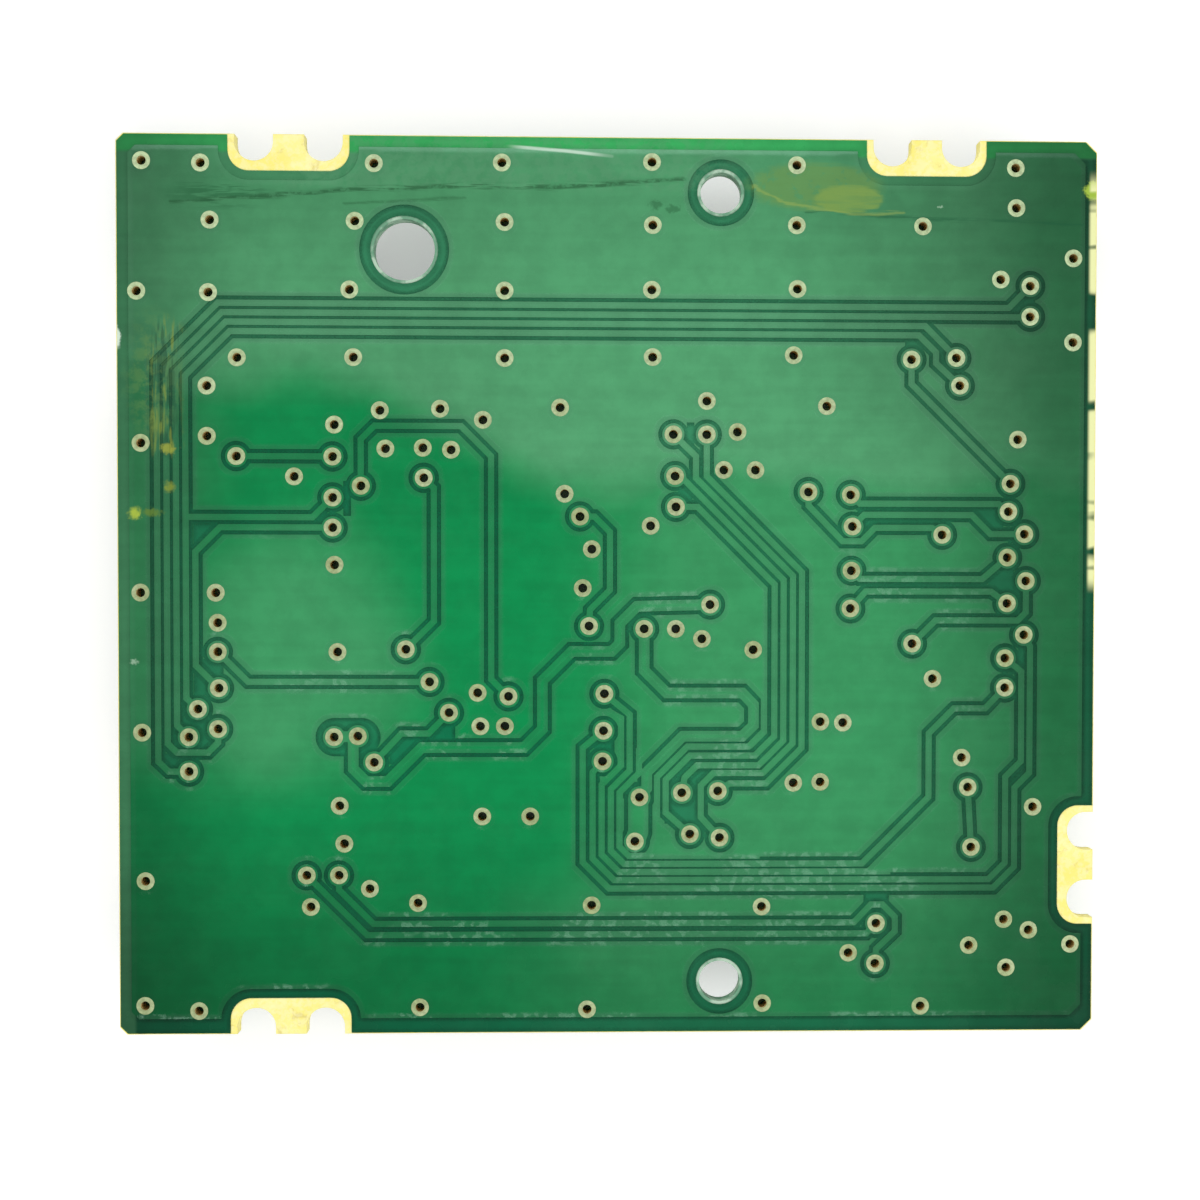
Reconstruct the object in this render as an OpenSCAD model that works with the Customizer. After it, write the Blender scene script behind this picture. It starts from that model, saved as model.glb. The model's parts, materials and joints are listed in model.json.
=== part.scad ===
// LCD driver board: a two-layer printed circuit board, lying with its solder side up
// on the headers of its component side.
// Places on the board are measured from its lower left corner, seen from the solder side.

/* [Board] */
// Width of the board
board_w = 54; // [54:0.5:70]
// Height of the board
board_h = 49.5; // [49.5:0.5:65]
// Thickness of the bare laminate
laminate_t = 1.5; // [0.8:0.1:2.4]
// Corner cut on the right-hand corners
corner_cut_right = 0.6; // [0.2:0.1:1.2]
// Corner cut on the left-hand corners
corner_cut_left = 0.4; // [0.2:0.1:1]

/* [Copper and solder mask] */
// Thickness of each copper foil
copper_t = 0.035; // [0.035:0.035:0.105]
// Thickness of the solder mask over the copper
mask_t = 0.025; // [0.02:0.005:0.04]
// Bare strip between the ground plane and the board's edge
edge_band = 0.7; // [0.5:0.1:1]
// The same strip along the bottom edge
edge_band_bottom = 0.9; // [0.5:0.1:1]
// Width of a signal track
track_w = 0.27; // [0.2:0.01:0.3]
// Width of a power track
power_w = 0.52; // [0.4:0.02:0.56]
// Gap between a track and the ground plane
clearance = 0.3; // [0.2:0.02:0.34]
// Distance between neighbouring tracks of a bus
bus_pitch = 0.515; // [0.5:0.005:0.54]

/* [Vias] */
// Inside diameter of a plated via
via_bore = 0.5; // [0.3:0.05:0.6]
// Thickness of the plating in a via
plating_t = 0.04; // [0.02:0.01:0.05]
// Diameter of the tinned ring that the mask leaves open
via_ring_d = 0.98; // [0.8:0.02:1.1]
// Diameter of a via's copper pad
via_pad_d = 1.15; // [1.14:0.01:1.25]

/* [Mounting holes] */
// Diameter of the large mounting hole
post_hole_d = 3.35; // [2.5:0.05:4]
// Diameter of the copper-free ring around the large hole
post_keepout_d = 5; // [4.5:0.1:6]
// Large hole, from the left edge
post_hole_x = 15.7; // [15:0.1:16.5]
// Large hole, below the top edge
post_hole_drop = 6.25; // [5.5:0.05:6.5]
// Diameter of the two small mounting holes
screw_hole_d = 2.25; // [1.5:0.05:2.6]
// Diameter of the copper-free ring around a small hole
screw_keepout_d = 3.75; // [3:0.05:4.2]
// Small holes, from the right edge
screw_hole_inset = 20.9; // [20.5:0.1:21.3]
// Upper small hole, below the top edge
screw_hole_drop = 3; // [2.5:0.05:3.2]
// Lower small hole, above the bottom edge
screw_hole_rise = 2.85; // [2.5:0.05:3.1]

/* [Break-off tabs] */
// Length of the mask-free patch along the edge
tab_w = 6.65; // [6.2:0.05:7.2]
// Depth of the mask-free patch
tab_depth = 2; // [1.8:0.05:2.3]
// Width of a router notch
notch_w = 2.1; // [1.6:0.1:2.2]
// Depth of a router notch
notch_depth = 1.45; // [1.2:0.05:1.6]
// Distance between the two notches of a tab
notch_pitch = 3.8; // [3.4:0.1:4]
// Left tabs, from the left edge
tab_left_x = 9.4; // [9:0.1:9.8]
// Upper right tab, from the right edge
tab_right_inset = 9.5; // [9:0.1:10]
// Side tab, above the bottom edge
tab_side_y = 9.3; // [9:0.05:9.6]

/* [Wire headers] */
// Distance between a header's pins
header_pitch = 1.25; // [1:0.05:1.25]
// Height of the headers, on which the board rests
header_h = 3.4; // [3.2:0.1:4.5]
// Depth of a header's housing
header_depth = 4.2; // [4:0.1:4.3]
// Wall thickness of a header's housing
header_wall = 0.55; // [0.4:0.05:0.6]
// Thickness of a header's pins
header_pin = 0.4; // [0.3:0.02:0.5]

/* [Panel connector] */
// Number of contacts in the panel connector
panel_ways = 10; // [6:1:10]
// Distance between the panel connector's contacts
panel_pitch = 1.25; // [1:0.05:1.25]
// Depth of the panel connector
panel_depth = 5.3; // [5:0.1:5.4]
// Height of the slot that takes the flat cable
panel_slot_h = 0.7; // [0.5:0.05:1]

/* [Integrated circuits] */
// Side of the controller's body
controller_side = 7; // [6.6:0.1:7.2]
// Leads on each side of the controller
controller_leads_per_side = 12; // [8:1:12]
// Distance between the controller's leads
controller_pitch = 0.5; // [0.4:0.01:0.5]
// Height of the controller's body
controller_body_h = 1.4; // [1:0.1:1.8]
// Height of the driver's body
driver_body_h = 0.95; // [0.8:0.05:1.3]
// Height of the memory's body
memory_body_h = 1.45; // [1.2:0.05:1.8]

/* [Power parts] */
// Side of the power inductor
inductor_side = 5.8; // [5:0.1:6.2]
// Height of the power inductor
inductor_h = 2.7; // [2:0.1:2.9]
// Height of the tantalum capacitors
tantalum_h = 1.9; // [1.5:0.1:2.6]
// Height of the rectifier diode
diode_h = 2.1; // [1.6:0.1:2.5]
// Height of the regulator's body
regulator_h = 1.6; // [1.4:0.1:1.9]

/* [Hidden] */
$fn = 48;

// ---- The layout's frame ---------------------------------------------------------------
// The tracks are drawn for a board of this size. On a larger one, all that lies past a
// seam moves out with the far edge, and the tracks that cross the seam grow.
layout_w = 54;
layout_h = 49.5;
seam_x = 25;
seam_y = 31.2;

function at(p) = [p[0] > seam_x ? p[0] + board_w - layout_w : p[0],
    p[1] > seam_y ? p[1] + board_h - layout_h : p[1]];
function route(points) = [for (p = points) at(p)];

// ---- Ground vias, joined to the ground plane --------------------------------------------
ground_vias = [
    [1.4, 48], [4.6, 47.9], [14.05, 47.95], [21.05, 48.05], [29.3, 48.15], [37.3, 48.05],
    [49.45, 48], [49.5, 45.8], [5.1, 44.8], [13, 44.8], [21.2, 44.8], [29.35, 44.7],
    [37.3, 44.75], [44.3, 44.75], [52.7, 43.05], [48.65, 41.85], [1.1, 40.9], [5, 40.85],
    [12.7, 41.05], [21.2, 41.05], [29.3, 41.15], [37.35, 41.25], [52.7, 38.4],
    [6.55, 37.3], [12.9, 37.35], [21.2, 37.35], [29.35, 37.45], [37.15, 37.6],
    [4.9, 35.75], [14.35, 34.45], [17.65, 34.55], [20, 33.95], [24.25, 34.65],
    [32.35, 35.05], [39, 34.8], [34.05, 33.35], [11.85, 33.65], [4.9, 33], [49.65, 33],
    [1.3, 32.6], [14.65, 32.35], [16.7, 32.4], [18.25, 32.3], [9.65, 30.8], [33.3, 31.25],
    [35.05, 31.25], [24.5, 29.9], [26, 26.85], [25.5, 24.7], [29.25, 28.15],
    [11.85, 25.95], [5.35, 24.4], [5.45, 22.75], [1.25, 24.4], [12, 21.15], [30.65, 22.45],
    [32.1, 21.9], [34.95, 21.3], [19.7, 18.9], [19.85, 17.05], [21.2, 17.05],
    [44.95, 19.7], [38.7, 17.3], [39.95, 17.25], [1.3, 16.7], [46.6, 15.3], [37.2, 13.9],
    [38.7, 13.95], [12.1, 12.65], [50.6, 12.55], [19.95, 12.05], [22.6, 12.05],
    [12.35, 10.55], [1.45, 8.5], [13.75, 8.05], [16.4, 7.25], [10.5, 7.05], [26, 7.1],
    [35.45, 7], [49, 6.25], [50.4, 5.65], [47.05, 4.8], [52.75, 4.85], [40.3, 4.4],
    [49.15, 3.55], [1.4, 1.6], [4.35, 1.3], [16.5, 1.45], [25.75, 1.3], [35.5, 1.6],
    [44.35, 1.4]];

// ---- Buses ------------------------------------------------------------------------------
// The four-lane bus runs along the top, turns at 45 degrees and goes down the left side.
// Lane 0 is the outer one.
bus_left_x = 2.18;
bus_top_y = 40.28;
bus_turn = 34.75;
function bus_x(k) = bus_left_x + k * bus_pitch;
function bus_y(k) = bus_top_y - k * bus_pitch;
function turn_of(k) = bus_turn - k * bus_pitch * sqrt(2);
function bus_corner(k) = [[bus_y(k) - turn_of(k), bus_y(k)], [bus_x(k), bus_x(k) + turn_of(k)]];
bus_nets = [
    concat([[50.3, 41.5], [49.1, bus_y(0)]], bus_corner(0),
        [[bus_x(0), 15.1], [2.75, 14.55], [3.85, 14.55]]),
    concat([[50.3, 39.8], [50, bus_y(1)]], bus_corner(1),
        [[bus_x(1), 16.1], [3.2, 15.6], [4.9, 15.6], [5.45, 16.15], [5.45, 16.9]]),
    concat([[46.2, 37.5], [44.45, bus_y(2)]], bus_corner(2),
        [[bus_x(2), 17.1], [3.85, 16.45]]),
    concat([[46.4, 35.97], [45.06, 37.2], [45.06, 37.8], [44.1, bus_y(3)]], bus_corner(3),
        [[bus_x(3), 18.6], [4.35, 18]])];

// ---- Signal tracks, with a via at both ends ---------------------------------------------
signal_nets = [
    // Left half
    [[6.5, 31.9], [11.75, 31.9]],
    [[11.75, 28], [5.6, 28], [4.25, 26.65], [4.25, 20.4], [5.5, 19.15]],
    [[5.45, 21.15], [7.1, 19.5], [17.05, 19.5]],
    [[13.3, 30.3], [13.3, 32.85], [14.05, 33.6], [18.8, 33.6], [20.45, 31.95],
        [20.45, 19.65], [21.4, 18.7]],
    [[16.75, 30.75], [17.3, 30.2], [17.3, 22.85], [15.75, 21.3]],
    [[18.12, 17.8], [17, 16.65], [15.5, 16.65], [14, 15.05]],
    [[25.35, 28.65], [26.15, 28.65], [27, 27.8], [27, 24.6], [25.9, 23.5], [25.85, 22.6]],
    // Bundle from the middle to the lower right
    [[32.35, 33.2], [32.35, 30.9], [37.65, 25.6], [37.65, 15.85], [35.67, 13.87],
        [33.65, 13.87], [33, 13.45]],
    [[30.5, 33.2], [31.75, 32], [31.75, 30.8], [37.15, 25.4], [37.15, 16.1],
        [35.5, 14.45], [32.75, 14.45], [32.05, 13.75], [32.05, 12], [33.1, 10.85]],
    [[30.6, 30.9], [31.05, 30.75], [36.63, 25.17], [36.63, 16.25], [35.26, 14.88],
        [31.85, 14.88], [31.15, 14.2], [31, 13.35]],
    [[30.65, 29.2], [31.85, 29.2], [36.13, 24.92], [36.13, 16.5], [35.05, 15.42],
        [31.45, 15.42], [30.1, 14.07], [30.1, 12.25], [31.45, 11.05]],
    // Fan-out to the panel connector
    [[43.7, 37.4], [43.7, 36.05], [49.25, 30.55]],
    [[40.35, 29.9], [40.85, 29.42], [48.6, 29.42], [49.15, 29]],
    [[40.45, 28.15], [41.1, 28.8], [47.1, 28.8], [48.15, 27.75], [50.05, 27.75]],
    [[38, 30.05], [38, 29.3], [39.9, 27.33], [40.95, 27.33], [41.7, 28.08], [44.9, 28.08],
        [45.45, 27.7]],
    [[40.4, 25.7], [40.85, 25.25], [47.7, 25.25], [49.1, 26.45]],
    [[40.35, 23.6], [41.2, 24.55], [48.2, 24.55], [49.1, 23.9]],
    [[43.8, 21.65], [45.1, 22.95], [49.7, 22.95], [50.15, 23.4], [50.15, 25.15]],
    // Long runs around the lower right
    [[50.05, 22.15], [50.4, 21.5], [50.4, 14.45], [49.57, 13.62], [49.57, 9.2],
        [48.4, 8.03], [26.97, 8.03], [25.5, 9.5], [25.5, 15.85], [26.65, 16.8]],
    [[49, 20.85], [49.92, 20.1], [49.92, 15.1], [49.05, 14.23], [49.05, 9.42],
        [48.13, 8.5], [27.25, 8.5], [26.05, 9.7], [26.05, 14.5], [26.6, 15.1]],
    [[49, 19.2], [47.9, 18.05], [46.15, 18.05], [44.75, 16.65], [44.75, 13.1],
        [41.05, 9.4], [27.8, 9.4], [27.06, 10.14], [27.06, 13.56], [28.1, 14.6],
        [28.1, 17.7], [26.7, 18.85]],
    [[46.95, 13.65], [47.15, 10.3]],
    [[10.28, 8.8], [13.6, 5.48], [41.3, 5.48], [41.85, 6.05]],
    [[12.05, 8.8], [12.05, 8], [13.95, 6.1], [40.6, 6.1], [41.55, 7.1], [42.2, 7.1],
        [42.9, 6.4], [42.9, 5.6], [41.85, 4.6], [41.8, 3.8]]];

// A branch ends on a lane of the bus, and only its first point has a via.
branch_nets = [[[11.75, 29.65], [10.65, 28.56], [bus_x(3), 28.56]]];

// Strips of the ground plane that run inside a bundle, with no gap at their ends
ground_strips = [
    [[26.9, 17.9], [27.62, 17.5], [27.62, 14.87], [26.55, 13.8], [26.55, 9.92],
        [27.52, 8.95], [42.6, 8.95]],
    [[28.62, 15.8], [28.62, 14.45], [27.54, 13.37], [27.54, 10.37], [28.06, 9.85],
        [35.3, 9.85]],
    [[35.55, 19.6], [35.55, 16.78], [34.69, 15.92], [31.3, 15.92], [29.62, 14.24],
        [29.62, 11.6]]];

// ---- Power tracks -----------------------------------------------------------------------
power_nets = [
    [[12.85, 16.5], [12.85, 14.7], [13.55, 14], [14.75, 14], [16.62, 15.87],
        [22.25, 15.87], [23.27, 16.89], [23.27, 19.57], [24.9, 21.2], [27.1, 21.2],
        [27.55, 21.65], [27.55, 22.75], [28.5, 23.7], [32.55, 23.8]],
    [[28.9, 22.45], [28.9, 20.15], [30.15, 18.9], [34.35, 18.9], [34.97, 18.25],
        [34.97, 17.1], [34.35, 16.5], [31.05, 16.5], [29.05, 14.5], [29.05, 13.6],
        [28.65, 13.1]],
    [[11.8, 16.45], [13.1, 16.5]]];
power_vias = [[11.8, 16.45], [13.1, 16.5], [32.55, 23.8], [28.9, 22.45], [28.65, 13.1],
    [28.4, 10.65]];
// The wide link between two power vias
link_w = 1.05;
power_link = [[28.58, 13.1], [28.58, 11.2], [28.4, 10.65]];

function first(list) = list[0];
function last(list) = list[len(list) - 1];
isolated_vias = concat([for (n = bus_nets) first(n)], [for (n = bus_nets) last(n)],
    [for (n = signal_nets) first(n)], [for (n = signal_nets) last(n)],
    [for (n = branch_nets) first(n)], power_vias);
all_vias = concat(ground_vias, isolated_vias);
signal_tracks = concat(bus_nets, signal_nets, branch_nets);

// The gap around the first two power vias
pair_clear = [[11.85, 16.45], [13.3, 16.45]];
pair_clear_w = 2.2;

// Corners inside the bundles from which loose scraps of copper are etched away,
// as [left, bottom, right, top]
etched_clear = [
    [30, 11.6, 32.3, 15], [26.1, 14.3, 27.3, 16.4], [41.1, 7.2, 42.6, 7.9],
    [41.2, 5.2, 42.4, 6.8], [4.1, 27.1, 5.2, 28.2], [4.1, 18.7, 4.8, 19.95],
    [3.4, 15.8, 5, 17.6], [2.5, 14.9, 3.3, 15.6], [4.6, 19.8, 5.8, 20.8],
    [12.3, 28.6, 12.8, 30.6], [14.8, 14.9, 16.3, 16.4], [17.3, 16.3, 18.5, 17.3],
    [31.2, 32.5, 31.7, 33.9], [30.7, 29.5, 31.6, 30.2], [47.4, 28.1, 48.9, 29.1],
    [48, 24.6, 49.5, 25.8], [49.7, 20.4, 50.1, 21.5], [41.2, 28.1, 41.5, 28.5],
    [49.1, 27, 49.4, 27.4], [49.2, 19.9, 49.5, 20.2], [49.9, 40.4, 50.6, 40.9],
    [43.3, 37.9, 44.6, 38.5], [27.4, 9.7, 28.3, 10.3], [27.7, 13, 29.3, 14]];

// ---- Layers -----------------------------------------------------------------------------
mask_inset = 0.05;
mask_side_cover = 0.04;
mask_hole_margin = 0.18;
mask_pad_margin = 0.05;
tab_plane_gap = 0.55;
tab_corner_r = 1.15;
ring_t = 0.02;
drill_r = via_bore / 2 + plating_t;
face_t = copper_t + mask_t;

// ---- Parts on the component side ----------------------------------------------------------
// Each place is [x, y, turn]
solder_t = 0.05;
pad_seat = copper_t + solder_t;
stand_h = face_t + header_h;
edge_inset = 0.2;

// Headers: the place is the middle of the mouth, and the housing runs from there along +X
input_header = [edge_inset, 11.4, 0];
input_pins = 4;
key_header = [edge_inset, 38.65, 0];
key_pins = 3;
signal_header = [layout_w - edge_inset, 38, 180];
signal_pins = 4;
lamp_header = [45.3, edge_inset, 90];
lamp_pins = 2;
header_end = 1.6;
header_mouth_depth = 3.1;
header_side_room = 1;
header_pin_start = 0.9;
header_tail = 0.95;
header_key_slot = [1.6, 0.7];
header_edge_cut = 0.3;
tail_pad = [1.1, 0.6];
tail_pad_at = 0.85;
nail_t = 0.25;
nail_l = 1.2;
nail_rise = 1.6;
nail_foot = 0.8;
nail_at = 2;
nail_pad = [1.4, 1];

panel_mouth = [layout_w - edge_inset, 24.6, 180];
panel_end = 1.8;
panel_slot_end = 0.9;
panel_slot_depth = 3.9;
panel_lead_in = [0.5, 0.35];
panel_contact_t = 0.2;
panel_contact_w = 0.32;
panel_contact_start = 0.7;
panel_groove_w = 0.5;
panel_groove_depth = 0.5;

lead_t = 0.15;
body_draft = 0.12;
foot_share = 0.55;
pad_toe = 0.15;
dimple_d = 0.7;
dimple_depth = 0.06;
dimple_inset = 1;

controller_at = [19.4, 25.3, 0];
controller_reach = 1;
controller_lead_w = 0.22;
controller_pad = [1.1, 0.3];
driver_at = [36.5, 25.9, 90];
driver_size = [4.4, 6.5];
driver_leads_per_side = 10;
driver_pitch = 0.65;
driver_lead_w = 0.26;
driver_reach = 1;
driver_pad = [1.1, 0.38];
memory_at = [25.25, 39.2, 90];
memory_size = [3.9, 4.9];
memory_leads_per_side = 4;
memory_pitch = 1.27;
memory_lead_w = 0.42;
memory_reach = 1.05;
memory_pad = [1.2, 0.62];

regulator_at = [9, 41.6, 0];
regulator_size = [6.5, 3.5];
regulator_pitch = 2.3;
regulator_lead_w = 0.75;
regulator_tab_w = 3.1;
regulator_reach = 1.7;
regulator_lead_t = 0.26;
regulator_pad_l = 1.5;
transistors_at = [[33.2, 37.5, 0], [41, 33.2, 90], [17.6, 12.3, 0]];
transistor_size = [2.9, 1.3];
transistor_h = 1;
transistor_pitch = 1.9;
transistor_reach = 0.55;
transistor_lead_w = 0.42;
transistor_pad = [0.8, 0.7];

inductor_at = [20.9, 6.6, 0];
inductor_cut = 1;
inductor_ring = 0.55;
inductor_floor_t = 0.3;
drum_gap = 0.2;
drum_flange_t = 0.5;
drum_core_d = 2.2;
winding_inset = 0.25;
inductor_clip_t = 0.2;
inductor_clip_w = 1.9;
inductor_clip_foot = 1.5;
inductor_clip_rise = 1.2;

crystal_at = [8.3, 26.65, 0];
crystal_size = [5, 3.2];
crystal_base_h = 0.8;
crystal_lid_margin = 0.3;
crystal_lid_h = 0.3;
crystal_notch_r = 0.2;
crystal_pad = [1.3, 1];

tantalums_at = [[29, 4.6, 90], [8.6, 16.8, 0], [33.5, 41.3, 0]];
tantalum_size = [3.5, 2.8];
diode_at = [14.2, 4, 90];
diode_size = [4.3, 2.6];
strap_t = 0.15;
strap_foot = 0.9;
strap_w = 1.8;

ceramics_at = [[12.9, 23.5, 90], [12.9, 19.1, 90], [24.2, 33, 0], [26.6, 30.9, 90],
    [8.2, 29.6, 0], [8.6, 23.2, 0], [23.3, 16.9, 90], [31.3, 26.3, 90], [42, 26.4, 90],
    [36.3, 20, 0], [36.8, 32.6, 0], [25.3, 44.2, 0], [33.6, 8.8, 0], [38.2, 4.2, 90],
    [9.4, 12.6, 90], [45.6, 33.6, 90]];
resistors_at = [[15.3, 17.9, 90], [24.7, 19.2, 90], [15.5, 36.5, 0], [18.4, 36.5, 0],
    [30.2, 19.6, 90], [33.2, 19.6, 90], [40.6, 20.3, 90], [42.6, 31, 0], [43.2, 24.1, 90],
    [42.9, 11.2, 0], [42.9, 9.2, 0], [31.6, 15.3, 90], [8.2, 20.6, 0], [29.3, 33.6, 90],
    [40.9, 39.3, 0], [40.9, 36.3, 0]];
chip_size = [1.6, 0.8];
ceramic_h = 0.8;
resistor_h = 0.45;
chip_cap_l = 0.35;
chip_inset = 0.03;
chip_pad = [0.8, 0.9];

// ---- Flat shapes --------------------------------------------------------------------------
function unit(v) = v / norm(v);
function normal(a, b) = let (d = unit(b - a)) [-d[1], d[0]];
// The point of a mitred line at point i, moved sideways by h
function mitred(p, i, h) =
    let (m = len(p) - 1,
        a = normal(p[max(i - 1, 0)], p[max(i, 1)]),
        b = normal(p[min(i, m - 1)], p[min(i + 1, m)]))
    p[i] + h * (a + b) / (1 + a * b);

// The points of a line, with both ends moved out by e
function longer(p, e) = let (m = len(p) - 1) [for (i = [0:m])
    i == 0 ? p[0] + e * unit(p[0] - p[1]) : i == m ? p[m] + e * unit(p[m] - p[m - 1]) : p[i]];

// A line of even width through points, with mitred corners
module strip(p, w) {
    polygon([for (i = [0:len(p) - 1]) mitred(p, i, -w / 2),
        for (i = [len(p) - 1:-1:0]) mitred(p, i, w / 2)]);
}

module dots(places, d) {
    for (p = places) translate(at(p)) circle(d = d);
}

// The board's rectangle with its corners cut, drawn in by a and at the bottom by b
module cut_rectangle(a, b) {
    l = corner_cut_left;
    r = corner_cut_right;
    x = board_w - a;
    y = board_h - a;
    polygon([[a + l, b], [x - r, b], [x, b + r], [x, y - r], [x - r, y], [a + l, y],
        [a, y - l], [a, b + l]]);
}

// Runs its children at each tab, with +Y pointing into the board
module at_tabs() {
    translate([tab_left_x, 0]) children();
    translate([tab_left_x, board_h]) rotate(180) children();
    translate([board_w - tab_right_inset, board_h]) rotate(180) children();
    translate([board_w, tab_side_y]) rotate(90) children();
}

// A patch on the edge with its inner corners rounded, grown by g
module edge_patch(g) {
    w = tab_w + 2 * g;
    d = tab_depth + g;
    r = tab_corner_r + g;
    out = 1;
    translate([-w / 2, -out]) square([w, d - r + out]);
    translate([-w / 2 + r, -out]) square([w - 2 * r, d + out]);
    for (s = [-1, 1]) translate([s * (w / 2 - r), d - r]) circle(r);
}

module notch_pair() {
    out = 1;
    for (s = [-1, 1]) translate([s * notch_pitch / 2, 0]) {
        translate([-notch_w / 2, -out]) square([notch_w, notch_depth - notch_w / 2 + out]);
        translate([0, notch_depth - notch_w / 2]) circle(d = notch_w);
    }
}

module post_place() translate([post_hole_x, board_h - post_hole_drop]) children();
module screw_places() {
    translate([board_w - screw_hole_inset, board_h - screw_hole_drop]) children();
    translate([board_w - screw_hole_inset, screw_hole_rise]) children();
}

module mounting_holes(margin) {
    post_place() circle(d = post_hole_d + 2 * margin);
    screw_places() circle(d = screw_hole_d + 2 * margin);
}

module board_outline() {
    difference() {
        cut_rectangle(0, 0);
        at_tabs() notch_pair();
    }
}

// The area that the solder mask of either side covers, without its openings
module mask_area() {
    difference() {
        cut_rectangle(mask_inset, mask_inset);
        at_tabs() edge_patch(0);
        mounting_holes(mask_hole_margin);
    }
}

// The same with an opening over each via's ring
module mask_area_rear() {
    difference() {
        mask_area();
        dots(all_vias, via_ring_d);
    }
}

// The outline of the ground plane, grown by g, without its gaps for tracks
module plane_outline(g) {
    difference() {
        cut_rectangle(edge_band - g, edge_band_bottom - g);
        at_tabs() edge_patch(tab_plane_gap - g);
        post_place() circle(d = post_keepout_d - 2 * g);
        screw_places() circle(d = screw_keepout_d - 2 * g);
    }
}

// Tracks of the solder side, each side grown by g
module rear_tracks(g) {
    for (n = signal_tracks) strip(route(n), track_w + 2 * g);
    for (n = power_nets) strip(route(n), power_w + 2 * g);
    strip(route(power_link), link_w + 2 * g);
    dots(isolated_vias, via_pad_d + 2 * g);
}

// All copper of the solder side, grown by g and not drilled
module rear_copper(g) {
    difference() {
        plane_outline(g);
        rear_tracks(clearance - g);
        strip(route(pair_clear), pair_clear_w - 2 * g);
        dots(pair_clear, pair_clear_w - 2 * g);
        for (b = etched_clear) translate(at([b[0], b[1]]) + [g, g])
            square([b[2] - b[0] - 2 * g, b[3] - b[1] - 2 * g]);
    }
    for (n = ground_strips) strip(longer(route(n), g), track_w + 2 * g);
    rear_tracks(g);
}

// ---- Board --------------------------------------------------------------------------------
module on_board() translate([-board_w / 2, -board_h / 2, stand_h]) children();
module on_rear(z) translate([0, 0, laminate_t + z]) children();

module laminate() {
    color("khaki") on_board() linear_extrude(laminate_t) difference() {
        board_outline();
        mounting_holes(0);
        dots(all_vias, 2 * drill_r);
    }
}

module copper_rear() {
    color("peru") on_board() on_rear(0) linear_extrude(copper_t) difference() {
        rear_copper(0);
        dots(all_vias, 2 * drill_r);
    }
}

module solder_mask_rear() {
    color("seagreen") on_board() on_rear(0) {
        linear_extrude(copper_t) difference() {
            mask_area_rear();
            rear_copper(0);
        }
        translate([0, 0, copper_t]) linear_extrude(mask_t) intersection() {
            mask_area_rear();
            rear_copper(mask_side_cover);
        }
    }
}

// A plated barrel with a tinned ring on the solder side. The mask of the component side
// closes its other end.
module via() {
    rotate_extrude() polygon([[via_bore / 2, -copper_t], [drill_r, -copper_t],
        [drill_r, laminate_t + copper_t], [via_ring_d / 2, laminate_t + copper_t],
        [via_ring_d / 2, laminate_t + copper_t + ring_t],
        [via_bore / 2, laminate_t + copper_t + ring_t]]);
}

module plated_vias() {
    color("gainsboro") on_board() for (p = all_vias) translate(at(p)) via();
}

// ---- Component side: z runs away from the board ---------------------------------------------
module on_front(z) on_board() mirror([0, 0, 1]) translate([0, 0, z]) children();
module place(c) translate(at([c[0], c[1]])) rotate(c[2]) children();
module in_row(n, pitch) {
    for (i = [0:n - 1]) translate([0, (i - (n - 1) / 2) * pitch]) children();
}
module on_turns(turns) for (a = turns) rotate(a) children();

// A rectangle centred on [x, 0], grown by g
module pad(x, size, g) {
    translate([x, 0]) square([size[0] + 2 * g, size[1] + 2 * g], center = true);
}

// A row of pads for leads that reach out from the side at x
module lead_pads(x, reach, n, pitch, size, g) {
    in_row(n, pitch) pad(x + reach + pad_toe - size[0] / 2, size, g);
}

module header_pads(c, n, pitch, end, depth, g) {
    place(c) {
        in_row(n, pitch) pad(depth + tail_pad_at, tail_pad, g);
        for (s = [-1, 1])
            translate([0, s * ((n - 1) * pitch / 2 + end + nail_pad[1] / 2)])
                pad(nail_at, nail_pad, g);
    }
}

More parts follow.
